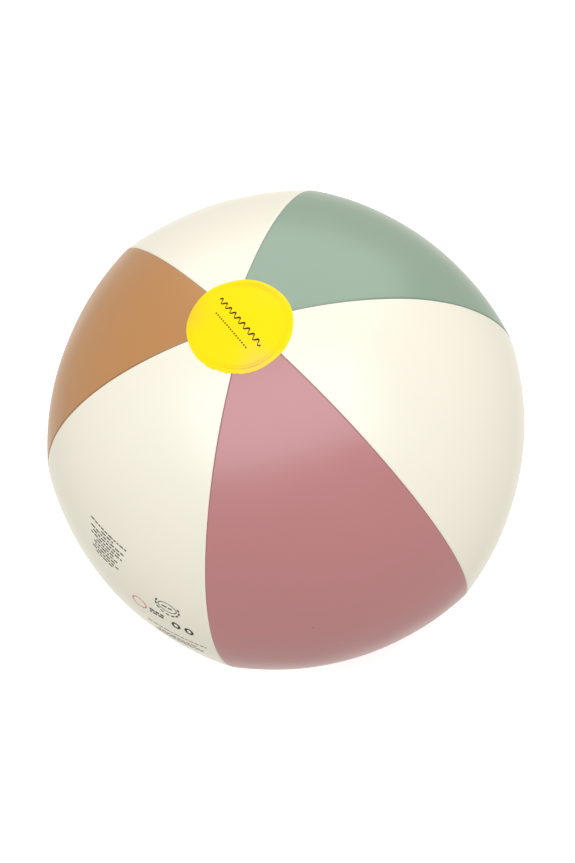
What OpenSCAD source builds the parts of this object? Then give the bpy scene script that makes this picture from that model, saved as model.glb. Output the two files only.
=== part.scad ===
// Inflatable beach ball, inflated: six welded gores of thin film, a round end cap on each pole
// and a push-in blow-up valve in the back gore.
// The ball's centre is the origin, +Z runs up the polar axis, and the rose gore faces -Y.

/* [Ball] */
// Radius from the polar axis to the middle of a gore, at the equator
ball_r = 165; // [150:1:180]
// Half of the height between the poles
half_h = 173; // [168:1:178]
// How far a gore's own axis lies behind the polar axis; more makes each gore flatter across
gore_offset = 32; // [20:1:45]
// Thickness of the film
film_t = 0.25; // [0.2:0.05:0.4]
// Width of the welded lip inside each seam
lip_w = 4; // [3:0.5:6]
// Radius of the opening left at the poles, where the gore tips stop
tip_r = 8; // [6:0.5:12]

/* [End caps] */
// Radius of an end cap
cap_r = 29.5; // [24:0.5:36]
// Thickness of an end cap
cap_t = 0.35; // [0.3:0.05:0.5]

/* [Valve seat] */
// Radius of the round hole in the back gore
seat_hole_r = 13.5; // [13.2:0.1:15]
// Outer radius of the flange welded under that hole
flange_r = 20; // [18:0.5:24]
// Thickness of the flange
flange_t = 0.5; // [0.4:0.1:0.8]
// Outer radius of the folding skirt, where it meets the flange
skirt_r = 13; // [12.8:0.1:13.1]
// Thickness of the skirt
skirt_t = 0.4; // [0.3:0.1:0.6]

/* [Valve stem] */
// How far the plug's top lies below the middle of the gore when the valve is pushed in
sink = 0; // [0:0.1:1]
// Outer radius of the stem
stem_r = 5; // [4.8:0.1:5.2]
// Length of the stem
stem_len = 13; // [12:0.5:14]
// Radius of the bore that grips a pump's nozzle
nozzle_r = 3; // [2.5:0.1:3]
// Radius of the wider socket above it, which the plug fills
socket_r = 3.25; // [3.2:0.05:3.4]
// Depth of that socket
socket_len = 6; // [6:0.5:7]

/* [Plug] */
// Radius of the plug's head
head_r = 6; // [5.8:0.1:6.2]
// Thickness of the plug's head
head_t = 1.4; // [1.2:0.1:1.6]
// Length of the plug below the stem's rim
plug_len = 5; // [4:0.5:5]
// Distance from the stem's axis to the strap's fold, on which the plug swings
strap_reach = 8.5; // [8:0.1:8.6]

/* [Hidden] */
$fn = 96;

ROSE = [0.74, 0.49, 0.50];
CREAM = [0.97, 0.95, 0.89];
SAGE = [0.63, 0.72, 0.65];
TERRACOTTA = [0.74, 0.54, 0.39];
YELLOW = [0.99, 0.94, 0.10];
CLEAR = [0.92, 0.93, 0.90];

gores = 6;
half_gore = 180 / gores;
far = 2 * half_h;
drill_h = 20;
// A gore is part of a surface of revolution whose meridian is an arc through the equator and the pole.
arc_back = (half_h * half_h - ball_r * ball_r) / (2 * ball_r);
arc_r = ball_r + arc_back;
arc_x = gore_offset - arc_back;

// Heights in the valve's own frame: 0 is the film's outer face and + is out of the ball.
head_top = -sink;
head_low = head_top - head_t;
rim_gap = 0.15;
rim = head_low - rim_gap;
stem_end = rim - stem_len;
fit = 0.05;
collar_r = stem_r + 0.75;
collar_t = 1.2;
base_r = stem_r + 0.6;
base_top = stem_end + 4.6;
base_t = 1.6;
skirt_top = -0.7;
skirt_low = base_top - 0.4;
strap_w = 3;
strap_t = 0.8;
strap_mid = 1.8 + strap_t / 2;
strap_drop = 0.1;
fold_y = strap_reach - strap_mid + 0.2;
fold_z = head_low - strap_drop - strap_mid + strap_t / 2;
flap_gap = 0.1;
flap_r = stem_r - 0.4;
flap_t = 0.5;
flap_tab_w = 3;
flap_z = stem_end - flap_gap - flap_t / 2;

// The solid inside a gore's surface, moved outwards by d and turned through turn degrees about
// the gore's own axis; the gore's middle faces +X.
module core(d, turn = 2 * half_gore) {
    translate([-gore_offset, 0, 0])
        rotate([0, 0, -turn / 2])
            rotate_extrude(angle = turn)
                intersection() {
                    translate([arc_x, 0])
                        circle(r = arc_r + d);
                    translate([0, -far])
                        square([far, 2 * far]);
                }
}

// The wedge that one gore fills, with both of its seam planes moved in by inset.
module wedge(inset = 0) {
    apex = inset / sin(half_gore);
    reach = 1.5 * ball_r;
    side = reach * tan(half_gore);
    linear_extrude(height = 2 * far, center = true)
        polygon([[apex, 0], [apex + reach, -side], [apex + reach, side]]);
}

module pole_opening() {
    cylinder(r = tip_r, h = 2 * far, center = true);
}

// One gore: a skin of film with a welded lip turned in along each seam.
module gore() {
    difference() {
        intersection() {
            core(0);
            wedge();
        }
        intersection() {
            core(-film_t);
            wedge(film_t);
        }
        core(-lip_w);
        pole_opening();
    }
}

// A patch of sheet that follows a gore, between the distances low and high from its outer face.
module patch(low, high) {
    difference() {
        intersection() {
            core(high);
            wedge();
        }
        core(low);
    }
}

// The top of the ball, moved outwards by d: what all the gores' surfaces hold in common. Its
// very tip is pressed flat.
module dome(d, r, floor_z) {
    flat = 0.05;
    intersection() {
        translate([0, 0, floor_z])
            cylinder(r = r, h = half_h + d - flat - floor_z);
        intersection_for (i = [0:gores - 1])
            rotate([0, 0, (i + 0.5) * 2 * half_gore])
                core(d, 360);
    }
}

// An end cap on the +Z pole: a disc laid over the tips of all the gores.
module end_cap() {
    floor_z = 0.8 * half_h;
    margin = 5;
    difference() {
        dome(cap_t, cap_r, floor_z);
        dome(0, cap_r + margin, floor_z - margin);
    }
}

// Places the valve's own frame in the middle of the back gore; its +Z points out of the ball.
module at_valve() {
    translate([0, ball_r, 0])
        rotate([-90, 0, 0])
            children();
}

// A flat strip cut from a side view in the valve's own frame: x is the view's first axis.
module strip(width) {
    rotate([90, 0, 90])
        linear_extrude(height = width, center = true)
            children();
}

module rose_panel() {
    color(ROSE)
        rotate([0, 0, -90])
            gore();
}

module cream_panel_right() {
    color(CREAM)
        rotate([0, 0, -30])
            gore();
}

module sage_panel() {
    color(SAGE)
        rotate([0, 0, 30])
            gore();
}

module cream_panel_back() {
    color(CREAM)
        difference() {
            rotate([0, 0, 90])
                gore();
            at_valve()
                cylinder(r = seat_hole_r, h = drill_h, center = true);
        }
}

module terracotta_panel() {
    color(TERRACOTTA)
        rotate([0, 0, 150])
            gore();
}

module cream_panel_left() {
    color(CREAM)
        rotate([0, 0, 210])
            gore();
}

module top_cap() {
    color(YELLOW)
        end_cap();
}

module bottom_cap() {
    color(YELLOW)
        mirror([0, 0, 1])
            end_cap();
}

module valve_flange() {
    color(CLEAR)
        difference() {
            intersection() {
                rotate([0, 0, 90])
                    patch(-film_t - flange_t, -film_t);
                at_valve()
                    cylinder(r = flange_r, h = drill_h, center = true);
            }
            at_valve()
                cylinder(r = skirt_r, h = 1.5 * drill_h, center = true);
        }
}

// The folding skirt: a thin cup that hangs from the flange and holds the stem by its base.
module valve_skirt() {
    wall_r = skirt_r - 1.6;
    floor_r = skirt_r - 3.5;
    edge_t = 0.6;
    bend_z = -6;
    floor_z = skirt_low + 1.1;
    color(CLEAR)
        at_valve()
            rotate_extrude()
                polygon([
                    [skirt_r, skirt_top],
                    [skirt_r, skirt_top - edge_t],
                    [wall_r + skirt_t, bend_z - skirt_t / 2],
                    [floor_r + skirt_t / 2, floor_z - skirt_t],
                    [base_r + fit, skirt_low - skirt_t],
                    [base_r + fit, skirt_low],
                    [floor_r - skirt_t / 2, floor_z],
                    [wall_r, bend_z],
                    [skirt_r - skirt_t, skirt_top]
                ]);
}

module valve_stem() {
    mouth = 0.3;
    color(CLEAR)
        at_valve()
            difference() {
                union() {
                    translate([0, 0, stem_end])
                        cylinder(r = stem_r, h = stem_len);
                    translate([0, 0, rim - collar_t])
                        cylinder(r = collar_r, h = collar_t);
                    translate([0, 0, base_top - base_t])
                        cylinder(r = base_r, h = base_t);
                }
                translate([0, 0, stem_end - 1])
                    cylinder(r = nozzle_r, h = stem_len + 2);
                translate([0, 0, rim - socket_len])
                    cylinder(r = socket_r, h = socket_len + 1);
                translate([0, 0, rim - mouth])
                    cylinder(r1 = socket_r, r2 = socket_r + mouth, h = mouth);
            }
}

// The check flap closes the stem's inner end and swings on a rounded edge.
module check_flap() {
    tab_root = 3;
    color(CLEAR)
        at_valve() {
            translate([0, 0, flap_z - flap_t / 2])
                cylinder(r = flap_r, h = flap_t);
            translate([-flap_tab_w / 2, -stem_r, flap_z - flap_t / 2])
                cube([flap_tab_w, stem_r - tab_root, flap_t]);
            translate([-flap_tab_w / 2, -stem_r, flap_z])
                rotate([0, 90, 0])
                    cylinder(r = flap_t / 2, h = flap_tab_w);
        }
}

// The thin hinge that carries the flap, from the stem's side round to the flap's edge.
module flap_hinge() {
    hinge_t = 0.4;
    inner_y = -stem_r - flap_t / 2 - flap_gap;
    outer_y = inner_y - hinge_t;
    weld_low = stem_end + 0.4;
    weld_high = weld_low + 1;
    color(CLEAR)
        at_valve()
            difference() {
                strip(flap_tab_w)
                    polygon([
                        [-stem_r + 1, weld_high],
                        [outer_y, weld_high],
                        [outer_y, flap_z],
                        [inner_y, flap_z],
                        [inner_y, weld_low],
                        [-stem_r + 1, weld_low]
                    ]);
                cylinder(r = stem_r, h = 4 * stem_len, center = true);
            }
}

// The plug: a flat head, a tapered stopper and a small tab to lift it by.
module valve_plug() {
    stopper_tip_r = 2.3;
    bevel = 0.4;
    shoulder = 0.1;
    tab_reach = 9.5;
    tab_w = 4;
    tab_t = 0.9;
    color(CLEAR)
        at_valve() {
            rotate_extrude()
                polygon([
                    [0, head_top],
                    [head_r - bevel, head_top],
                    [head_r, head_top - bevel],
                    [head_r, head_low],
                    [socket_r - fit, head_low],
                    [socket_r - fit, rim - shoulder],
                    [stopper_tip_r, rim - plug_len],
                    [0, rim - plug_len]
                ]);
            translate([-tab_w / 2, -tab_reach, head_low])
                cube([tab_w, tab_reach - head_r + 1, tab_t]);
        }
}

// The strap: from the stem's side, round a half-circle fold, back to the edge of the plug's head.
module plug_strap() {
    root_y = 4;
    arm = fold_y - root_y;
    outer_r = strap_mid + strap_t / 2;
    inner_r = strap_mid - strap_t / 2;
    cut = 10;
    color(CLEAR)
        at_valve()
            difference() {
                strip(strap_w)
                    translate([fold_y, fold_z]) {
                        difference() {
                            circle(r = outer_r);
                            circle(r = inner_r);
                            translate([-cut, -cut / 2])
                                square([cut, cut]);
                        }
                        translate([-arm, -outer_r])
                            square([arm, strap_t]);
                        translate([-arm, inner_r])
                            square([arm, strap_t]);
                    }
                translate([0, 0, fold_z - cut / 2])
                    cylinder(r = stem_r, h = cut / 2);
                translate([0, 0, fold_z])
                    cylinder(r = head_r + fit, h = cut / 2);
            }
}

rose_panel();
cream_panel_right();
sage_panel();
cream_panel_back();
terracotta_panel();
cream_panel_left();
top_cap();
bottom_cap();
valve_flange();
valve_skirt();
valve_stem();
check_flap();
flap_hinge();
valve_plug();
plug_strap();
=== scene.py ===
import math

import bmesh
import bpy
import numpy as np
from mathutils import Matrix, Quaternion, Vector


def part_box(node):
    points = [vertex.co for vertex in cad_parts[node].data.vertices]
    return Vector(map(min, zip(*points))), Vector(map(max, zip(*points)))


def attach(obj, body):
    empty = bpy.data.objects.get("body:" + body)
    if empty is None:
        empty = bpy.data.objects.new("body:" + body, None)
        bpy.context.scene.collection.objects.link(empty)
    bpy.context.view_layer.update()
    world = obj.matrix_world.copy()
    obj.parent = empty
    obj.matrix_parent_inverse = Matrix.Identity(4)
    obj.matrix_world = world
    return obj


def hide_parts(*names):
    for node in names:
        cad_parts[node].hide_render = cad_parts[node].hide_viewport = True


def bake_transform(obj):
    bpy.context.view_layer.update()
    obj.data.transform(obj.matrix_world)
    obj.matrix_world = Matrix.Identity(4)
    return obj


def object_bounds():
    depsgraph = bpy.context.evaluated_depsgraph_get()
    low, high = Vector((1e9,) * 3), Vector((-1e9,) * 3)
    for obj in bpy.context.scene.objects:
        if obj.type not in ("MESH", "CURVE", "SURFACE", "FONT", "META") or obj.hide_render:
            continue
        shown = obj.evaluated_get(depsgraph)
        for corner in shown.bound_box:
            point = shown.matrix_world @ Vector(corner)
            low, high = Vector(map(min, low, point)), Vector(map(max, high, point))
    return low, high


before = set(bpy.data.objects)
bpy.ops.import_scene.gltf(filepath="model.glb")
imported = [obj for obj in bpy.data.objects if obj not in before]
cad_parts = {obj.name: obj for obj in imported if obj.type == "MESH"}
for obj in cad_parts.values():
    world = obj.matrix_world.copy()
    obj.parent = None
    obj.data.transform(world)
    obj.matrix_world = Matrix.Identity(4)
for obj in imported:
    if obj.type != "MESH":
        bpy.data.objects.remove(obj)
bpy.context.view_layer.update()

# ---------------------------------------------------------------- sizes, in millimetres
MM = 0.001
CAP_T = 0.35
FILM_T = 0.25
TIP_R = 8.0
HALF_GORE = math.radians(30)
FULL_TURN = 2 * math.pi
# Faces that meet at more than this angle keep a crisp edge between them.
SHARP_ANGLE = math.radians(40)

rose_low, rose_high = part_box("rose_panel")
BALL_R = -rose_low.y / MM
SEAM_R = 2 * rose_high.x / MM
HALF_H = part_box("top_cap")[1].z / MM - CAP_T
CAP_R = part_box("top_cap")[1].x / MM
# Each gore's meridian is an arc of radius ARC_R whose centre lies ARC_BACK behind the polar axis.
ARC_BACK = (HALF_H**2 - BALL_R**2) / (2 * BALL_R)
ARC_R = BALL_R + ARC_BACK
# A gore is round about an axis of its own, which lies this far behind the polar axis.
GORE_AXIS = (SEAM_R**2 - BALL_R**2) / (2 * (BALL_R - SEAM_R * math.cos(HALF_GORE)))

# The gores, in order round the ball; gore k lies between seams k and k + 1.
GORES = ["rose", "cream_right", "sage", "cream_back", "terracotta", "cream_left"]
FILMS = ["rose_film", "cream_film", "sage_film", "cream_film", "terracotta_film", "cream_film"]
FIRST_SEAM = -120.0
# Hand-welded seams wander: degrees that each is turned, and millimetres by which it misses the pole.
# A scratch fit to the photo gave these values, rounded: report.md lists that as a departure.
SEAM_TURN = [-0.8, -0.6, 0.4, -0.6, -1.9, -2.5]
SEAM_MISS = [4.3, 1.6, -4.0, 4.5, 0.0, 3.0]
MISS_R = 26.0

# ---------------------------------------------------------------- the ball's surface


def seam_azimuth(k, r):
    """Azimuth of seam k at the distance r from the polar axis, in radians."""
    turned = math.radians(FIRST_SEAM + 60 * k + SEAM_TURN[k % 6])
    return turned + np.arcsin(SEAM_MISS[k % 6] / np.maximum(r, MISS_R))


def across(x, cosine):
    """Distance from the polar axis of a gore's surface, where its middle is at x."""
    back = GORE_AXIS * cosine
    return np.sqrt(back**2 + x**2 + 2 * x * GORE_AXIS) - back


def gore_edges(k, t):
    """Azimuths of gore k's two seams at the latitude t."""
    x = ARC_R * np.cos(t) - ARC_BACK
    r = across(x, math.cos(HALF_GORE))
    return seam_azimuth(k, r), seam_azimuth(k + 1, r)


def gore_point(k, f, t):
    """Plain surface of gore k: f runs from -1 to 1 across it and t is the latitude."""
    f, t = np.broadcast_arrays(np.asarray(f, float), np.asarray(t, float))
    x = ARC_R * np.cos(t) - ARC_BACK
    r = across(x, np.cos(f * HALF_GORE))
    first, last = gore_edges(k, t)
    azimuth = (first + last) / 2 + f * (last - first) / 2
    point = np.stack([r * np.cos(azimuth), r * np.sin(azimuth), ARC_R * np.sin(t)], -1)
    width = (last - first) * r
    return point, (1 + f) / 2 * width, (1 - f) / 2 * width


def unit(v):
    return v / np.linalg.norm(v, axis=-1, keepdims=True)


def gore_normal(k, f, t):
    step = 1e-4
    here = gore_point(k, f, t)[0]
    aside = gore_point(k, np.asarray(f) + step, t)[0] - here
    above = gore_point(k, f, np.asarray(t) + step)[0] - here
    return unit(np.cross(aside, above))


random = np.random.default_rng(11)
# Each seam's gathers are a sum of waves: length in millimetres, phase and share of the height.
PUCKER_WAVES = [
    [(random.uniform(9, 30), random.uniform(0, 6.28), random.uniform(0.4, 1)) for _ in range(5)]
    for _ in GORES
]
PUCKER_HEIGHT = 0.035
PUCKER_REACH = 5.0
GROOVE_DEPTH = 0.55
GROOVE_W = 1.1
# The swells are waves too: direction, length in millimetres and phase.
SWELLS = [(unit(random.normal(size=3)), random.uniform(38, 75), random.uniform(0, 6.28)) for _ in range(7)]
SWELL_HEIGHT = 0.045


def pucker(seam, t, gap):
    """Small gathers beside a weld, in millimetres; gap is the distance from it."""
    along = ARC_R * t
    waves = sum(a * np.sin(FULL_TURN * along / w + p) for w, p, a in PUCKER_WAVES[seam % 6])
    return PUCKER_HEIGHT * waves * gap / PUCKER_REACH * np.exp(1 - gap / PUCKER_REACH)


def weld_groove(gap):
    """The film rolls inwards where it meets a seam."""
    return -GROOVE_DEPTH * np.clip(1 - gap / GROOVE_W, 0, 1) ** 2


def swell(point):
    """Slow, shallow unevenness of the blown-up film, in millimetres."""
    waves = [np.sin(FULL_TURN * (point @ way) / length + phase) for way, length, phase in SWELLS]
    return SWELL_HEIGHT * sum(waves)


def gore_skin(k, f, t):
    """Outer face of gore k with its unevenness and rolled edges, and the distance from its seams."""
    point, from_first, from_last = gore_point(k, f, t)
    relief = swell(point) + weld_groove(from_first) + weld_groove(from_last)
    relief = relief + pucker(k, t, from_first) + pucker(k + 1, t, from_last)
    skin = point + gore_normal(k, f, t) * relief[..., None]
    return skin, np.minimum(from_first, from_last)


# ---------------------------------------------------------------- meshes


def vertex_normals(points, faces):
    normals = np.zeros_like(points)
    for face in faces:
        a, b, c = points[face[0]], points[face[1]], points[face[-1]]
        normals[face] += np.cross(b - a, c - a)
    return unit(normals)


def thicken(points, faces, thickness):
    """A closed shell: the sheet, a copy of it pushed in by thickness, and walls at its edges."""
    count = len(points)
    inner = points - vertex_normals(points, faces) * thickness
    edges = set()
    for face in faces:
        for a, b in zip(face, face[1:] + face[:1]):
            if (b, a) in edges:
                edges.remove((b, a))
            else:
                edges.add((a, b))
    walls = [[b, a, a + count, b + count] for a, b in sorted(edges)]
    inner_faces = [[i + count for i in reversed(face)] for face in faces]
    return np.concatenate([points, inner]), faces + inner_faces + walls


def add_mesh(name, points, faces, material):
    """A mesh object from points in millimetres."""
    mesh = bpy.data.meshes.new(name)
    mesh.from_pydata((np.asarray(points) * MM).tolist(), [], faces)
    mesh.validate()
    mesh.shade_smooth()
    mesh.set_sharp_from_angle(angle=SHARP_ANGLE)
    mesh.materials.append(material)
    piece = bpy.data.objects.new(name, mesh)
    bpy.context.collection.objects.link(piece)
    return piece


def set_values(piece, name, values):
    """Stores one number per point, for the piece's material to read."""
    attribute = piece.data.attributes.new(name, "FLOAT", "POINT")
    attribute.data.foreach_set("value", np.asarray(values, np.float32))


def set_colours(piece, name, colours):
    attribute = piece.data.attributes.new(name, "FLOAT_COLOR", "POINT")
    attribute.data.foreach_set("color", np.asarray(colours, np.float32).ravel())


def grid_faces(rows, columns, skip=()):
    """Quads of a grid of points stored row by row, but for the skipped cells."""
    faces = []
    for i in range(rows - 1):
        for j in range(columns - 1):
            if (i, j) not in skip:
                a = i * columns + j
                faces.append([a, a + 1, a + 1 + columns, a + columns])
    return faces


# ---------------------------------------------------------------- materials


class Nodes:
    """A material's node tree, with short calls for the nodes used here."""

    def __init__(self, name):
        self.material = bpy.data.materials.new(name)
        self.material.use_nodes = True
        self.tree = self.material.node_tree
        self.shader = self.tree.nodes["Principled BSDF"]
        self.place = self.add("ShaderNodeTexCoord").outputs["Object"]

    def add(self, kind, **settings):
        node = self.tree.nodes.new(kind)
        for key, value in settings.items():
            setattr(node, key, value)
        return node

    def link(self, source, target):
        self.tree.links.new(source, target)

    def noise(self, scale, detail):
        node = self.add("ShaderNodeTexNoise")
        node.inputs["Scale"].default_value = scale
        node.inputs["Detail"].default_value = detail
        self.link(self.place, node.inputs["Vector"])
        return node.outputs["Fac"]

    def span(self, source, low, high, from_low=0.2, from_high=0.8):
        """Maps a value from one span to another; noise mostly lies between 0.2 and 0.8."""
        node = self.add("ShaderNodeMapRange")
        ends = {"From Min": from_low, "From Max": from_high, "To Min": low, "To Max": high}
        for key, value in ends.items():
            node.inputs[key].default_value = value
        self.link(source, node.inputs["Value"])
        return node.outputs["Result"]

    def mix(self, factor, a, b):
        """Mixes two colours, each a socket or a plain colour."""
        node = self.add("ShaderNodeMix", data_type="RGBA")
        self.link(factor, node.inputs[0])
        for socket, colour in ((node.inputs[6], a), (node.inputs[7], b)):
            if isinstance(colour, tuple):
                socket.default_value = (*colour, 1)
            else:
                self.link(colour, socket)
        return node.outputs[2]

    def attribute(self, name, output="Fac"):
        return self.add("ShaderNodeAttribute", attribute_name=name).outputs[output]

    def bump(self, height, strength, distance):
        node = self.add("ShaderNodeBump")
        node.inputs["Strength"].default_value = strength
        node.inputs["Distance"].default_value = distance
        self.link(height, node.inputs["Height"])
        return node.outputs["Normal"]

    def finish(self, **sockets):
        """Sets or links the shader's sockets; a space in a socket's name is an underscore here."""
        for key, value in sockets.items():
            socket = self.shader.inputs[key.replace("_", " ")]
            if isinstance(value, bpy.types.NodeSocket):
                self.link(value, socket)
            else:
                socket.default_value = value
        return self.material


def shade(colour, factor):
    return tuple(min(1.0, c * factor) for c in colour)


def film_material(name, colour, painted_seam_shading):
    """Glossy printed PVC film: a little cloudy, with painted shade along its welds; on the cream film the
    weld line is paler, a painted highlight.
    """
    n = Nodes(name)
    cloudy = n.span(n.noise(9, 3), 0, 1)
    body = n.mix(cloudy, shade(colour, 0.98), shade(colour, 1.02))
    # Painted shade along the weld groove on the coloured films, and a painted highlight beside the welds
    # on the cream film.
    line = n.span(n.attribute("seam_gap"), 1, 0, 0.2, GROOVE_W)
    body = n.mix(line, body, painted_seam_shading)
    grain = n.bump(n.noise(700, 2), 0.05, 0.0003)
    gloss = n.span(n.noise(35, 2), 0.27, 0.33)
    return n.finish(Base_Color=body, Roughness=gloss, Normal=grain, IOR=1.52,
                    Specular_IOR_Level=1.0)


def cap_material():
    """Yellow film, slightly see-through: its colour, with the tint of the tips below and painted shade in
    its pressed lines, is in the mesh.
    """
    n = Nodes("yellow_cap_film")
    cloudy = n.span(n.noise(30, 3), 0, 0.05)
    body = n.mix(cloudy, n.attribute("film_colour_and_line_shade", "Color"), (0.90, 0.70, 0.02))
    grain = n.bump(n.noise(700, 2), 0.05, 0.0003)
    gloss = n.span(n.noise(80, 2), 0.36, 0.46)
    return n.finish(Base_Color=body, Roughness=gloss, Normal=grain, IOR=1.5,
                    Specular_IOR_Level=0.1)


def ink_material(name, colour):
    """Screen-printed ink, a little uneven."""
    n = Nodes(name)
    uneven = n.span(n.noise(900, 2), 0, 1)
    body = n.mix(uneven, shade(colour, 0.8), shade(colour, 1.5))
    gloss = n.span(n.noise(400, 2), 0.35, 0.5)
    return n.finish(Base_Color=body, Roughness=gloss, Specular_IOR_Level=0.15)


def vinyl_material():
    """Soft moulded vinyl, milky clear."""
    n = Nodes("milky_clear_vinyl")
    milk = n.span(n.noise(160, 3), 0, 1)
    body = n.mix(milk, (0.90, 0.93, 0.91), (0.97, 0.98, 0.97))
    flow = n.bump(n.noise(260, 2), 0.08, 0.0006)
    gloss = n.span(n.noise(300, 2), 0.10, 0.2)
    return n.finish(Base_Color=body, Roughness=gloss, Normal=flow, IOR=1.53,
                    Transmission_Weight=0.4)


ROSE = (0.468, 0.176, 0.181)
CREAM = (0.862, 0.820, 0.690)
SAGE = (0.232, 0.337, 0.247)
TERRACOTTA = (0.470, 0.206, 0.052)

# Each film's second colour is its weld line: painted shade on the coloured films, a painted highlight on
# the cream film.
MATERIALS = {
    "rose_film": film_material("rose_pvc_film", ROSE, shade(ROSE, 0.6)),
    "cream_film": film_material("cream_pvc_film", CREAM, shade(CREAM, 1.06)),
    "sage_film": film_material("sage_pvc_film", SAGE, shade(SAGE, 0.66)),
    "terracotta_film": film_material("terracotta_pvc_film", TERRACOTTA, shade(TERRACOTTA, 0.55)),
}
CAP_FILM = cap_material()
BROWN_INK = ink_material("brown_ink", (0.016, 0.010, 0.002))
GREY_INK = ink_material("grey_ink", (0.022, 0.021, 0.016))
RED_INK = ink_material("red_ink", (0.55, 0.08, 0.07))
VINYL = vinyl_material()

# ---------------------------------------------------------------- gores

LIP_DEPTHS = [0.9, 2.2, 4.0]
LIP_GAP = 0.04


def lip(k, side, t):
    """The welded lip that runs inwards from one of gore k's seams, from its inner edge outwards."""
    edge = gore_skin(k, side, t)[0]
    azimuth = gore_edges(k, t)[0 if side < 0 else 1]
    outwards = np.stack([np.cos(t) * np.cos(azimuth), np.cos(t) * np.sin(azimuth), np.sin(t)], -1)
    aside = np.stack([-np.sin(azimuth), np.cos(azimuth), np.zeros_like(azimuth)], -1) * -side
    return [edge - outwards * depth + aside * LIP_GAP for depth in LIP_DEPTHS]


def gore_grid(k, half_columns, row_step):
    """Points of gore k row by row, lips included, with the distance of each from a seam."""
    crowding = 1.8
    end = math.acos((TIP_R + ARC_BACK) / ARC_R)
    rows = 2 * round(ARC_R * end / row_step) + 1
    t = np.linspace(-end, end, rows)
    spread = 1 - np.linspace(0, 1, half_columns + 1) ** crowding
    f = np.concatenate([-spread, spread[-2::-1]])
    skin, gap = gore_skin(k, f[None, :], t[:, None])
    first = np.stack(lip(k, -1, t)[::-1], 1)
    last = np.stack(lip(k, 1, t), 1)
    hidden = np.zeros((rows, len(LIP_DEPTHS)))
    points = np.concatenate([first, skin, last], 1)
    return points, np.concatenate([hidden, gap, hidden], 1)


def build_gore(k):
    points, gaps = gore_grid(k, half_columns=24, row_step=4.0)
    rows, columns = gaps.shape
    shell, faces = thicken(points.reshape(-1, 3), grid_faces(rows, columns), FILM_T)
    piece = add_mesh(f"{GORES[k]}_gore", shell, faces, MATERIALS[FILMS[k]])
    set_values(piece, "seam_gap", np.tile(gaps.ravel(), 2))
    return piece


# The back gore is pierced by the valve seat, so a patch of rings takes the place of its middle.
SEAT_R = 13.5
WELD_RINGS = [15.4, 18.2]
PATCH_RINGS = [SEAT_R, 13.8, 14.4, 14.9, 15.15, 15.4, 15.65, 15.9, 16.6, 17.4, 17.8, 18.0, 18.2, 18.4,
               18.7, 19.4, 20.6]
PATCH_COLUMNS = 8
PATCH_ROWS = 9


def hump(x, middle, reach):
    """A smooth bump from 0 to 1."""
    return np.exp(-(((x - middle) / reach) ** 2))


def seat_relief(r):
    """Two weld rings pressed into the film over the valve's flange, and a rolled rim."""
    pressed = 0.22 * sum(hump(r, ring, 0.32) for ring in WELD_RINGS)
    lifted = 0.18 * hump(r, sum(WELD_RINGS) / 2, 1.6)
    rim = 0.15 * np.clip(1 - (r - SEAT_R) / 0.6, 0, 1) ** 2
    return lifted - pressed - rim


def seat_patch(k, loop):
    """Rings from the seat's hole out towards the loop of grid points, as points and gaps."""
    rings = []
    theta = np.arctan2(loop[:, 1], loop[:, 0])
    reach = np.hypot(loop[:, 0], loop[:, 1])
    radii = [np.full_like(theta, r) for r in PATCH_RINGS]
    radii.append(PATCH_RINGS[-1] + (reach - PATCH_RINGS[-1]) * 0.5)
    for r in radii:
        t = r * np.sin(theta) / ARC_R
        x = ARC_R * np.cos(t) - ARC_BACK
        azimuth = math.pi / 2 + np.arcsin(-r * np.cos(theta) / x)
        first, last = gore_edges(k, t)
        f = 2 * (azimuth - first) / (last - first) - 1
        skin, gap = gore_skin(k, f, t)
        rings.append((skin + gore_normal(k, f, t) * seat_relief(r)[:, None], gap))
    return rings


def build_back_gore(k):
    """The gore that the valve sits in: a grid with a patch of rings in its middle."""
    points, gaps = gore_grid(k, half_columns=36, row_step=2.5)
    rows, columns = gaps.shape
    mid_row, mid_column = rows // 2, columns // 2
    top, bottom = mid_row + PATCH_ROWS, mid_row - PATCH_ROWS
    left, right = mid_column - PATCH_COLUMNS, mid_column + PATCH_COLUMNS
    skip = {(i, j) for i in range(bottom, top) for j in range(left, right)}
    faces = grid_faces(rows, columns, skip)
    loop = [bottom * columns + j for j in range(left, right)]
    loop += [i * columns + right for i in range(bottom, top)]
    loop += [top * columns + j for j in range(right, left, -1)]
    loop += [i * columns + left for i in range(top, bottom, -1)]
    flat = points.reshape(-1, 3)
    gap = gaps.ravel()
    place = np.stack([flat[loop, 0], ARC_R * np.arcsin(flat[loop, 2] / ARC_R)], -1)
    rings = seat_patch(k, place)
    count, start = len(loop), len(flat)
    for i, (ring_points, ring_gap) in enumerate(rings):
        flat = np.concatenate([flat, ring_points])
        gap = np.concatenate([gap, ring_gap])
        inner = [start + i * count + j for j in range(count)]
        outer = loop if i + 1 == len(rings) else [start + (i + 1) * count + j for j in range(count)]
        for j in range(count):
            after = (j + 1) % count
            faces.append([inner[j], outer[j], outer[after], inner[after]])
    inside = np.zeros(len(flat), bool)
    inside[np.unique(np.concatenate(faces))] = True
    number = np.cumsum(inside) - 1
    faces = [[int(number[i]) for i in face] for face in faces]
    shell, faces = thicken(flat[inside], faces, FILM_T)
    piece = add_mesh(f"{GORES[k]}_gore", shell, faces, MATERIALS[FILMS[k]])
    set_values(piece, "seam_gap", np.tile(gap[inside], 2))
    return piece


for number, gore_name in enumerate(GORES):
    gore = build_back_gore(number) if gore_name == "cream_back" else build_gore(number)
    colour, _, where = gore_name.partition("_")
    node = f"{colour}_panel_{where}" if where else f"{colour}_panel"
    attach(gore, "ball")
    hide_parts(node)

# ---------------------------------------------------------------- end caps

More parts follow.
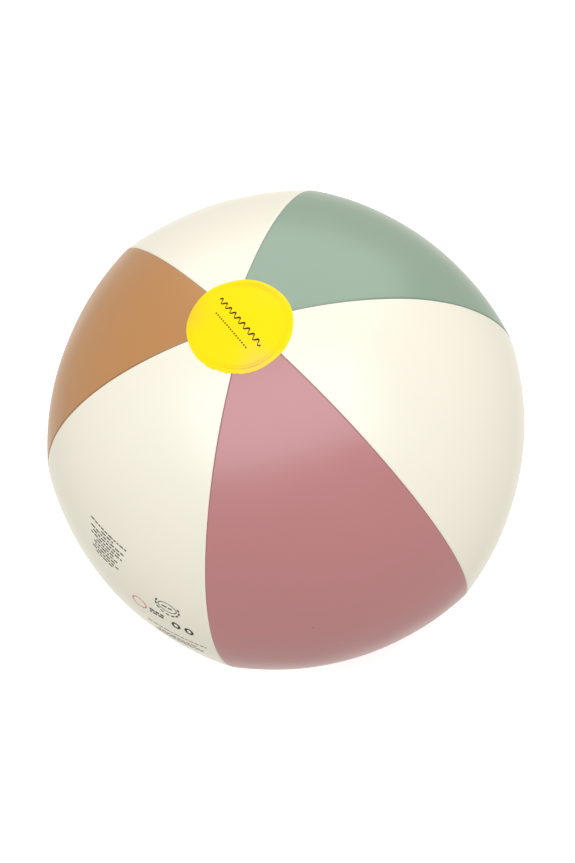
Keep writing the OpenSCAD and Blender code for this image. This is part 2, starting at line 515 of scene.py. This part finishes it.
# The caps were laid on by hand: how far each one's middle lies from the pole. 1 is the top cap.
CAP_SHIFT = {1: (-0.8, -2.8), -1: (1.2, 0.6)}
CAP_EDGE = (1.0, 0.80, 0.03)
YELLOW = (1.0, 0.70, 0.002)
OVER_TIP = {"rose": (0.92, 0.62, 0.08), "terracotta": (0.86, 0.58, 0.025), "sage": (0.92, 0.69, 0.02)}
# A tip's tint fades in over TINT_W from its seams, and between two distances from the pole.
TINT_W = 13
TINT_FROM_R = 10
TINT_FULL_R = 29
# Two welding lines are pressed into a cap, so far in from its edge; painted shade darkens the cap along
# them.
WELD_INSETS = (2.7, 4.1)
WELD_LINE_REACH = 0.3
LINE_SHADE = (0.26, 0.34, 0)
PRESSED_EDGE_W = 0.7


def gore_share(x, y):
    """Which gore lies below a point near a pole, and how far across it, from -1 to 1."""
    r = np.hypot(x, y)
    azimuth = np.arctan2(y, x)
    which = np.zeros(r.shape, int)
    share = np.zeros(r.shape)
    for k in range(6):
        first, last = seam_azimuth(k, r), seam_azimuth(k + 1, r)
        after = np.mod(azimuth - first, FULL_TURN)
        inside = after <= last - first
        which[inside] = k
        share[inside] = (2 * after / (last - first) - 1)[inside]
    return which, share


def pole_height(x, y):
    """Height of a film laid over the gore tips."""
    _, share = gore_share(x, y)
    dip = (1 - math.cos(HALF_GORE)) / 2
    cosine = 1 - dip + dip * np.cos(math.pi * share)
    r = np.hypot(x, y)
    middle = np.sqrt(GORE_AXIS**2 + r**2 + 2 * r * GORE_AXIS * cosine) - GORE_AXIS
    return np.sqrt(ARC_R**2 - (middle + ARC_BACK) ** 2)


def bump_round(theta, middle, reach):
    """A smooth bump round a cap, from 0 to 1, centred on an azimuth; both angles in degrees."""
    off = np.mod(np.degrees(theta) - middle + 180, 360) - 180
    return hump(off, 0, reach)


def cap_outline(theta, side):
    """Radius of a cap's hand-trimmed edge: a little oval, with one side cut less cleanly."""
    oval = 0.3 + 0.7 * np.cos(2 * (theta + 0.35))
    wave = 0.16 * np.sin(3 * theta + 0.6) + 0.10 * np.sin(7 * theta + side)
    ragged = 0.5 * bump_round(theta, 232, 30) * np.sin(31 * theta) * np.sin(13 * theta)
    return CAP_R + oval + wave + ragged


def weld_lines(theta, inset):
    """The welding ring's two pressed lines, from 0 to 1, which took better on two sides."""
    press = 0.15 + 0.85 * (bump_round(theta, 48, 30) + bump_round(theta, -90, 34))
    outer, inner = (hump(inset, line, WELD_LINE_REACH) for line in WELD_INSETS)
    return press * (outer + 0.8 * inner)


def cap_relief(theta, inset):
    """The pressed lines, the film between them, and a thin pressed edge."""
    edge = np.clip(1 - inset / PRESSED_EDGE_W, 0, 1) ** 2
    lift = 0.12 * hump(inset, sum(WELD_INSETS) / 2, 2.2)
    return lift - 0.22 * weld_lines(theta, inset) - 0.24 * edge


def cap_top(x, y):
    """Height of a cap's outer face, without its welding lines."""
    return pole_height(x, y) + CAP_T


def cap_colours(points, pressed):
    """The cap's yellow, tinted where a coloured gore's tip lies below, with painted shade in its pressed
    lines.
    """
    which, share = gore_share(points[:, 0], points[:, 1])
    colours = np.ones((len(points), 4))
    colours[:, :3] = YELLOW
    r = np.hypot(points[:, 0], points[:, 1])
    inside = np.clip((1 - np.abs(share)) * r * HALF_GORE / TINT_W, 0, 1)
    outside = np.clip((r - TINT_FROM_R) / (TINT_FULL_R - TINT_FROM_R), 0, 1)
    fade = inside * outside**1.5
    for k, gore_name in enumerate(GORES):
        tint = np.array(OVER_TIP.get(gore_name, YELLOW)) - YELLOW
        colours[which == k, :3] += tint * fade[which == k, None]
    # Painted shade along the pressed welding lines.
    colours[:, :3] *= 1 - pressed[:, None] * LINE_SHADE
    return colours


def build_cap(side):
    """A cap laid over the gore tips, as rings from its edge inwards; side is 1 or -1."""
    columns = 180
    theta = np.arange(columns) * FULL_TURN / columns
    edge = cap_outline(theta, side)
    insets = [0, 0.2, 0.45, 0.7, 1.2, 1.9, 2.3, 2.5, 2.7, 2.9, 3.15, 3.45, 3.75, 3.95, 4.15, 4.4, 4.8, 5.6]
    insets += list(np.linspace(6.8, CAP_R - 0.9, 18))
    rings, shades = [], []
    for inset in insets:
        r = edge - inset * edge / CAP_R
        x = CAP_SHIFT[side][0] + r * np.cos(theta)
        y = CAP_SHIFT[side][1] + r * np.sin(theta)
        z = cap_top(x, y) + cap_relief(theta, inset)
        rings.append(np.stack([x, y, z], -1))
        shades.append(weld_lines(theta, inset))
    centre = np.mean(rings[-1], 0, keepdims=True)
    centre[0, 2] = cap_top(centre[:, 0], centre[:, 1])[0]
    points = np.concatenate(rings + [centre])
    faces = []
    for i in range(len(insets) - 1):
        for j in range(columns):
            after = (j + 1) % columns
            a, b = i * columns, (i + 1) * columns
            faces.append([a + j, a + after, b + after, b + j])
    last = (len(insets) - 1) * columns
    faces += [[last + j, last + (j + 1) % columns, len(points) - 1] for j in range(columns)]
    colours = cap_colours(points, np.concatenate([*shades, [0]]))
    colours[: 2 * columns, :3] = CAP_EDGE
    points[:, 2] *= side
    if side < 0:
        faces = [face[::-1] for face in faces]
    shell, faces = thicken(points, faces, CAP_T - 0.03)
    name = "top_cap" if side > 0 else "bottom_cap"
    piece = add_mesh(f"{name}_film", shell, faces, CAP_FILM)
    set_colours(piece, "film_colour_and_line_shade", np.tile(colours, (2, 1)))
    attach(piece, "ball")
    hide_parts(name)


build_cap(1)
build_cap(-1)

# ---------------------------------------------------------------- prints

INK_T = 0.04
INK_LIFT = 0.06
CAP_PRINT_AZIMUTH = math.radians(-68)


def ribbon(path, width, closed=False):
    """A flat strip along a path in a plane: two points for each of the path's, and its quads."""
    path = np.asarray(path, float)
    ahead = np.roll(path, -1, 0) - np.roll(path, 1, 0)
    if not closed:
        ahead[0] = path[1] - path[0]
        ahead[-1] = path[-1] - path[-2]
    aside = unit(np.stack([-ahead[:, 1], ahead[:, 0]], -1)) * np.asarray(width)[..., None] / 2
    points = np.stack([path + aside, path - aside], 1).reshape(-1, 2)
    count = len(path)
    faces = []
    for i in range(count if closed else count - 1):
        a, b = 2 * i, 2 * ((i + 1) % count)
        faces.append([a, a + 1, b + 1, b])
    return points, faces


def ring_path(centre, radii, steps=40):
    angle = np.arange(steps) * FULL_TURN / steps
    return np.stack([centre[0] + radii[0] * np.cos(angle), centre[1] + radii[1] * np.sin(angle)], -1)


def dot(centre, r):
    """A filled round dot, as a short fan."""
    steps = 12
    points = np.concatenate([ring_path(centre, (r, r), steps), [centre]])
    return points, [[i, (i + 1) % steps, steps] for i in range(steps)]


def join(shapes):
    """Several flat shapes as one set of points and faces."""
    points, faces, start = [], [], 0
    for shape_points, shape_faces in shapes:
        points.append(shape_points)
        faces += [[i + start for i in face] for face in shape_faces]
        start += len(shape_points)
    return np.concatenate(points), faces


def build_print(name, shapes, lay, material):
    """Lays flat shapes on a film: lay turns their plane's points into points on its face."""
    flat, faces = join(shapes)
    points = lay(flat[:, 0], flat[:, 1])
    outwards = vertex_normals(points, faces)
    faces = [f if np.dot(outwards[f[0]], points[f[0]]) > 0 else f[::-1] for f in faces]
    lifted = points + vertex_normals(points, faces) * INK_LIFT
    shell, faces = thicken(lifted, faces, INK_T)
    piece = add_mesh(name, shell, faces, material)
    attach(piece, "ball")


def lay_on_cap(u, v):
    """A plane laid on the top cap: the print runs along u."""
    x = u * math.cos(CAP_PRINT_AZIMUTH) - v * math.sin(CAP_PRINT_AZIMUTH)
    y = u * math.sin(CAP_PRINT_AZIMUTH) + v * math.cos(CAP_PRINT_AZIMUTH)
    return np.stack([x, y, cap_top(x, y)], -1)


def wave_line(start, end, v, height, waves):
    """A row of waves along u, and its width at each point, as of a broad pen."""
    u = np.linspace(start, end, 140)
    phase = (u - start) / (end - start) * waves * FULL_TURN
    return np.stack([u, v + height * np.sin(phase)], -1), 0.75 + 0.3 * np.cos(phase - 0.5)


# A row of plain waves, and a row of dots below it.
wave, wave_width = wave_line(-17.6, 21.0, -0.4, 1.3, 9)
build_print("cap_wave_print", [ribbon(wave, wave_width)], lay_on_cap, BROWN_INK)
dots = [dot((u, -7.4), 0.5) for u in np.arange(-11.4, 17.2, 1.75)]
build_print("cap_dots_print", dots, lay_on_cap, BROWN_INK)


def lay_on_gore(k, azimuth, latitude):
    """A plane laid on gore k round a point: u runs to greater azimuths and v up, in millimetres."""
    middle = math.radians(latitude)
    r = ARC_R * math.cos(middle) - ARC_BACK

    def lay(u, v):
        t = middle + v / ARC_R
        first, last = gore_edges(k, t)
        there = math.radians(azimuth) + u / r
        f = 2 * (there - first) / (last - first) - 1
        return gore_skin(k, f, t)[0]

    return lay


LEFT_GORE = GORES.index("cream_left")


def bar_rows(lengths, step, width):
    """Rows of plain bars of uneven length, one row for each length, centred over each other."""
    between = 0.9
    bars = []
    for row, length in enumerate(lengths):
        at = -length / 2
        while at < length / 2 - 1:
            size = min(random.uniform(1.4, 4.4), length / 2 - at)
            along = np.linspace(at, at + size, 4)
            bars.append(ribbon(np.stack([along, np.full(4, -row * step)], -1), width))
            at += size + between
    return bars


def arc_path(r, start, end):
    """A short arc round the origin, between two angles in degrees."""
    angle = np.radians(np.linspace(start, end, 5))
    return np.stack([r * np.cos(angle), r * np.sin(angle)], -1)


build_print("left_gore_bars_print", bar_rows([33, 11, 30, 25, 28, 17, 21, 19, 23, 16], 3.0, 1.15),
            lay_on_gore(LEFT_GORE, 210.5, 33), GREY_INK)
build_print("left_gore_red_ring_print", [ribbon(ring_path((0, 0), (5.4, 5.4)), 0.8, True)],
            lay_on_gore(LEFT_GORE, 221.5, 18), RED_INK)
oval = [ribbon(ring_path((0, 0), (6.6, 4.6)), 0.6, True)] + bar_rows([8], 1, 1.3)
oval += [ribbon(arc_path(8.4, start, start + 18), 1.2) for start in range(150, 393, 27)]
build_print("left_gore_oval_print", oval, lay_on_gore(LEFT_GORE, 230, 23.1), GREY_INK)
marks = bar_rows([11, 11], 3.2, 2.0)
marks += [ribbon(ring_path((u, -4.6), (2.3, 3.2)), 1.7, True) for u in (13.8, 23)]
build_print("left_gore_marks_print", marks, lay_on_gore(LEFT_GORE, 226.5, 18.3), GREY_INK)
build_print("left_gore_rows_print", bar_rows([44, 0, 30, 36, 34], 3.4, 1.2),
            lay_on_gore(LEFT_GORE, 230.5, 11), GREY_INK)

# ---------------------------------------------------------------- valve


def valve_point(x, y, z):
    """From the valve's own frame, whose +Z points out of the ball, to the ball's."""
    x, y, z = np.broadcast_arrays(x, y, z)
    return np.stack([x, BALL_R + z, -y], -1)


def rounded(outline, radius, closed=True, steps=4):
    """An outline with its corners rounded, by up to radius."""
    outline = np.asarray(outline, float)
    out = []
    for i, corner in enumerate(outline):
        if not closed and i in (0, len(outline) - 1):
            out.append(corner)
            continue
        before, after = outline[i - 1] - corner, outline[(i + 1) % len(outline)] - corner
        reach = min(radius, 0.45 * np.linalg.norm(before), 0.45 * np.linalg.norm(after))
        start, end = corner + unit(before) * reach, corner + unit(after) * reach
        for s in np.linspace(0, 1, steps + 1):
            out.append((1 - s) ** 2 * start + 2 * s * (1 - s) * corner + s * s * end)
    return np.array(out)


def refined(outline, step):
    """A closed outline with points added, so that none are further apart than step."""
    out = []
    for i, start in enumerate(outline):
        end = outline[(i + 1) % len(outline)]
        count = max(1, math.ceil(np.linalg.norm(end - start) / step))
        out += [start + (end - start) * j / count for j in range(count)]
    return np.array(out)


def face_outwards(piece):
    """Joins points that coincide and turns a closed mesh's faces outwards."""
    mesh = bmesh.new()
    mesh.from_mesh(piece.data)
    bmesh.ops.remove_doubles(mesh, verts=mesh.verts, dist=1e-7)
    bmesh.ops.recalc_face_normals(mesh, faces=mesh.faces)
    mesh.to_mesh(piece.data)
    mesh.free()
    piece.data.set_sharp_from_angle(angle=SHARP_ANGLE)
    return piece


def lathe(name, outline, segments=72):
    """An outline of (radius, height) points turned about the valve's axis."""
    outline = np.asarray(outline)
    angle = np.arange(segments) * FULL_TURN / segments
    r, z = outline[:, 0][:, None], outline[:, 1][:, None]
    points = valve_point(r * np.cos(angle), r * np.sin(angle), z).reshape(-1, 3)
    faces = []
    for i in range(len(outline)):
        for j in range(segments):
            a, b = i * segments, (i + 1) % len(outline) * segments
            after = (j + 1) % segments
            faces.append([a + j, b + j, b + after, a + after])
    return face_outwards(add_mesh(name, points, faces, VINYL))


def strip_loft(name, path, widths, thicknesses):
    """A strip along a path in the valve's own y-z plane, with rounded edges and closed ends."""
    path = np.asarray(path, float)
    ahead = unit(np.gradient(path, axis=0))
    aside = np.stack([-ahead[:, 1], ahead[:, 0]], -1)
    rings = []
    widths, thicknesses = np.broadcast_to(widths, len(path)), np.broadcast_to(thicknesses, len(path))
    for place, side, width, thick in zip(path, aside, widths, thicknesses):
        box = np.array([[-1, -1], [1, -1], [1, 1], [-1, 1]]) * (width / 2, thick / 2)
        section = rounded(box, 0.3 * thick, steps=3)
        yz = place + side * section[:, 1:]
        rings.append(valve_point(section[:, 0], yz[:, 0], yz[:, 1]))
    count = len(rings[0])
    faces = [list(range(count)), [len(path) * count - 1 - i for i in range(count)]]
    for i in range(len(path) - 1):
        for j in range(count):
            a, b, after = i * count, (i + 1) * count, (j + 1) % count
            faces.append([a + j, b + j, b + after, a + after])
    return face_outwards(add_mesh(name, np.concatenate(rings), faces, VINYL))


stem_outline = [(3.55, -1.55), (5.75, -1.55), (5.75, -2.75), (5.0, -2.9), (5.0, -9.95), (5.6, -9.95),
                (5.6, -11.55), (5.0, -11.55), (5.0, -14.55), (3.0, -14.55), (3.0, -7.55), (3.25, -7.5),
                (3.25, -1.85)]
stem = lathe("valve_stem_tube", rounded(stem_outline, 0.22))
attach(stem, "stem")
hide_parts("valve_stem")

plug_outline = [(0, -0.35), (3.7, -0.35), (4.2, 0), (6.0, 0), (6.0, -1.4), (3.2, -1.4), (3.2, -1.65),
                (3.15, -3.3), (2.95, -3.6), (2.85, -5.2), (2.3, -6.55), (0, -6.55)]
plug = lathe("valve_plug_stopper", rounded(plug_outline, 0.25, closed=False))
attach(plug, "plug")
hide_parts("valve_plug")

# The tab has a round end, and ribs to grip it by.
TAB_Z = -0.95
reach = np.linspace(5.4, 9.5, 34)
tab_width = 4.0 * np.sqrt(np.clip(1 - np.clip((reach - 7.6) / 1.95, 0, 1) ** 2, 0.02, 1))
tab_thickness = 0.78 + 0.12 * np.cos(FULL_TURN * (reach - 6.6) / 0.8) * (reach > 6.6)
tab_path = np.stack([-reach, np.full_like(reach, TAB_Z)], -1)
tab = strip_loft("valve_plug_tab", tab_path, tab_width, tab_thickness)
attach(tab, "plug")

skirt_outline = [(13.0, -0.7), (13.0, -1.3), (11.8, -6.2), (9.7, -9.65), (5.65, -10.75), (5.65, -10.35),
                 (9.3, -9.25), (11.4, -6.0), (12.6, -0.7)]
skirt = lathe("valve_skirt_cup", refined(rounded(skirt_outline, 0.8), 0.6), 96)
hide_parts("valve_skirt")
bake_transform(skirt)

# The strap folds in a half circle of radius FOLD_R about (FOLD_Y, FOLD_Z).
FOLD_Y = 6.5
FOLD_Z = -3.3
FOLD_R = 2.2
strap_path = [(y, FOLD_Z - FOLD_R) for y in (4.6, 5.2, 5.8)]
for turn in np.radians(np.linspace(-90, 90, 25)):
    strap_path.append((FOLD_Y + FOLD_R * math.cos(turn), FOLD_Z + FOLD_R * math.sin(turn)))
strap_path.append((5.8, FOLD_Z + FOLD_R))
strap = strip_loft("plug_strap_band", strap_path, 3.0, 0.8)
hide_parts("plug_strap")
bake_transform(strap)

hinge_path = [(-4.8, -13.6), (-5.1, -13.6), (-5.35, -13.66), (-5.5, -13.85), (-5.55, -14.1),
              (-5.55, -14.35), (-5.55, -14.6), (-5.52, -14.85), (-5.3, -15.0)]
hinge = strip_loft("check_flap_hinge", hinge_path, 3.0, 0.4)
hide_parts("flap_hinge")
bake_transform(hinge)

for valve_node in ("valve_flange", "check_flap"):
    for material_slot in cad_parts[valve_node].material_slots:
        material_slot.material = VINYL

# ---------------------------------------------------------------- floor, camera and light

# A round floor whose rim curves up into a wall; in metres.
FLOOR_R = 4.0
SWEEP_R = 1.0
WALL_H = 6.0


def build_floor():
    """The studio's floor, level with the ball's lowest point."""
    columns = 64
    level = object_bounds()[0].z
    bend = np.radians(np.linspace(0, 90, 12))
    r = [0.5 * FLOOR_R, *(FLOOR_R + SWEEP_R * np.sin(bend)), FLOOR_R + SWEEP_R]
    z = [level, *(level + SWEEP_R * (1 - np.cos(bend))), level + WALL_H]
    angle = np.arange(columns) * FULL_TURN / columns
    points = [(0, 0, level)]
    points += [(ri * math.cos(a), ri * math.sin(a), zi) for ri, zi in zip(r, z) for a in angle]
    faces = [(0, 1 + j, 1 + (j + 1) % columns) for j in range(columns)]
    for i in range(len(r) - 1):
        for j in range(columns):
            a, b, after = 1 + columns * i, 1 + columns * (i + 1), (j + 1) % columns
            faces.append((a + j, b + j, b + after, a + after))
    mesh = bpy.data.meshes.new("floor")
    mesh.from_pydata(points, [], faces)
    mesh.shade_smooth()
    n = Nodes("white_floor")
    tone = n.mix(n.noise(3, 2), (0.93, 0.93, 0.93), (0.96, 0.96, 0.96))
    mesh.materials.append(n.finish(Base_Color=tone, Roughness=0.9, Emission_Color=(1, 1, 1, 1),
                                   Emission_Strength=0.3))
    piece = bpy.data.objects.new("floor", mesh)
    bpy.context.collection.objects.link(piece)
    # The ball is lit and mirrored as if it hung free, so that its lower half keeps its shade.
    piece.visible_glossy = False
    piece.visible_diffuse = False
    piece.visible_shadow = False


build_floor()

AZIMUTH = math.radians(6.43)
ELEVATION = math.radians(66.6)
ROLL = math.radians(-23.43)
DISTANCE = 0.701
LENS = 40.69

back = Vector((math.sin(AZIMUTH) * math.cos(ELEVATION), -math.cos(AZIMUTH) * math.cos(ELEVATION),
               math.sin(ELEVATION)))
camera = bpy.data.objects.new("camera", bpy.data.cameras.new("camera"))
bpy.context.collection.objects.link(camera)
camera.location = back * DISTANCE
camera.rotation_mode = "QUATERNION"
turned = (-back).to_track_quat("-Z", "Y") @ Quaternion((0, 0, 1), ROLL)
camera.rotation_quaternion = turned
camera.data.lens = LENS
camera.data.sensor_width = 36
camera.data.clip_start = 0.05
bpy.context.scene.camera = camera

up = turned @ Vector((0, 1, 0))
right = turned @ Vector((1, 0, 0))

LIGHT_DISTANCE = 1.6
COOL = (0.945, 0.985, 1.07)


def soft_box(name, aside, above, size, radiance, tilt=0.0, fill=True, sheen=True, tone=(1, 1, 1)):
    """A panel of light that faces the ball, so many degrees aside of and above the camera."""
    aside, above = math.radians(aside), math.radians(above)
    towards = back * math.cos(above) * math.cos(aside) + up * math.sin(above)
    towards = (towards + right * math.cos(above) * math.sin(aside)).normalized()
    level = up.cross(towards).normalized()
    level = Quaternion(towards, math.radians(tilt)) @ level
    data = bpy.data.lights.new(name, "AREA")
    data.shape = "RECTANGLE"
    data.color = tone
    data.size, data.size_y = size
    data.energy = radiance * math.pi * size[0] * size[1]
    box = bpy.data.objects.new(name, data)
    bpy.context.collection.objects.link(box)
    box.location = towards * LIGHT_DISTANCE
    box.visible_diffuse = fill
    box.visible_glossy = sheen
    box.rotation_mode = "QUATERNION"
    axes = Matrix((level, towards.cross(level), towards)).transposed()
    box.rotation_quaternion = axes.to_quaternion()


soft_box("front_panel", -3, 6, (3.2, 1.35), 1.42, tilt=14, tone=COOL)
soft_box("front_sheen", -3, 6, (3.2, 1.35), 0.90, tilt=14, fill=False, tone=COOL)
soft_box("top_panel", 8, 75, (2.4, 1.6), 0.80)
# Weak side panels that lift the shade without being mirrored in the film.
soft_box("right_fill", 85, 0, (1.6, 1.6), 0.50, sheen=False)
soft_box("left_fill", -85, 0, (1.6, 1.6), 0.28, sheen=False)
soft_box("low_fill", 0, -85, (1.2, 1.2), 0.12, sheen=False)

STUDIO_STRENGTH = 0.60
BACKDROP_STRENGTH = 1.15

world = bpy.data.worlds.new("studio")
bpy.context.scene.world = world
world.use_nodes = True
# The backdrop behind the ball is paler than the rest of the studio.
sky = world.node_tree
towards_backdrop = sky.nodes.new("ShaderNodeVectorMath")
towards_backdrop.operation = "DOT_PRODUCT"
towards_backdrop.inputs[1].default_value = -back
sky.links.new(sky.nodes.new("ShaderNodeTexCoord").outputs["Generated"], towards_backdrop.inputs[0])
paler = sky.nodes.new("ShaderNodeMapRange")
paler.inputs["From Min"].default_value = 0.72
paler.inputs["From Max"].default_value = 0.92
paler.inputs["To Min"].default_value = STUDIO_STRENGTH
paler.inputs["To Max"].default_value = BACKDROP_STRENGTH
sky.links.new(towards_backdrop.outputs["Value"], paler.inputs["Value"])
sky.links.new(paler.outputs["Result"], sky.nodes["Background"].inputs["Strength"])
sky.nodes["Background"].inputs["Color"].default_value = (1, 0.98, 0.915, 1)
bpy.context.scene.view_settings.view_transform = "Standard"
